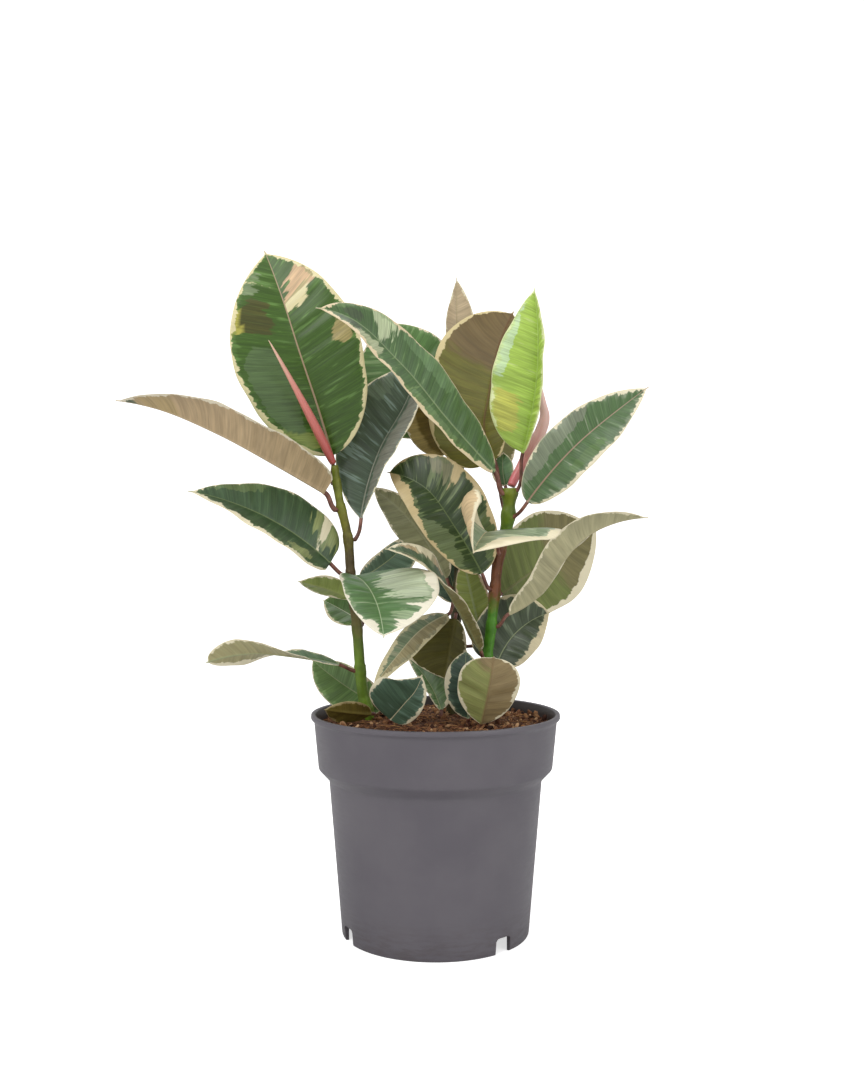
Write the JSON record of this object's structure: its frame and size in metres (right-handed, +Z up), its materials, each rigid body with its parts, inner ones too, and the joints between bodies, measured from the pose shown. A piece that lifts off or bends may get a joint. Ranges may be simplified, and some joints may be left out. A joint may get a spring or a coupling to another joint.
{
  "type": "potted rubber plant",
  "caption": "Young variegated rubber plant with upright stems and cream-edged leaves, rooted in a round grey nursery pot.",
  "frame": {"origin": "middle of the plant's outline seen from above, on the ground under the pot", "axes": "+Z up along the stems; -Y is the plant's front; +X is the plant's right seen from the front"},
  "size_m": [0.3623, 0.17, 0.4702],
  "materials": {
    "pot_plastic": "satin moulded polypropylene, mauve grey",
    "potting_mix": "loose peat and coir, reddish brown; wood stands for its plant fibre",
    "stem": "smooth green to olive bark",
    "bud_sheath": "thin pink bud sheath, satin",
    "leaf": "waxy green leaf with a ragged cream margin; wood stands for living leaf"
  },
  "bodies": {
    "root": {"bud_sheath_left": "bud_sheath", "bud_sheath_right": "bud_sheath", "leaf_back_01": "leaf", "leaf_back_02": "leaf", "leaf_back_03": "leaf", "leaf_back_04": "leaf", "leaf_back_05": "leaf", "leaf_back_06": "leaf", "leaf_back_07": "leaf", "leaf_back_08": "leaf", "leaf_left_01": "leaf", "leaf_left_02": "leaf", "leaf_left_03": "leaf", "leaf_left_04": "leaf", "leaf_left_05": "leaf", "leaf_left_06": "leaf", "leaf_left_07": "leaf", "leaf_left_08": "leaf", "leaf_left_09": "leaf", "leaf_left_10": "leaf", "leaf_left_11": "leaf", "leaf_left_12": "leaf", "leaf_right_01": "leaf", "leaf_right_02": "leaf", "leaf_right_03": "leaf", "leaf_right_04": "leaf", "leaf_right_05": "leaf", "leaf_right_06": "leaf", "leaf_right_07": "leaf", "leaf_right_08": "leaf", "leaf_right_09": "leaf", "leaf_right_10": "leaf", "leaf_right_11": "leaf", "leaf_right_12": "leaf", "leaf_right_13": "leaf", "leaf_right_14": "leaf", "leaf_right_15": "leaf", "nursery_pot": "pot_plastic", "soil": "potting_mix", "stem_back": "stem", "stem_left": "stem", "stem_right": "stem"}
  },
  "joints": []
}
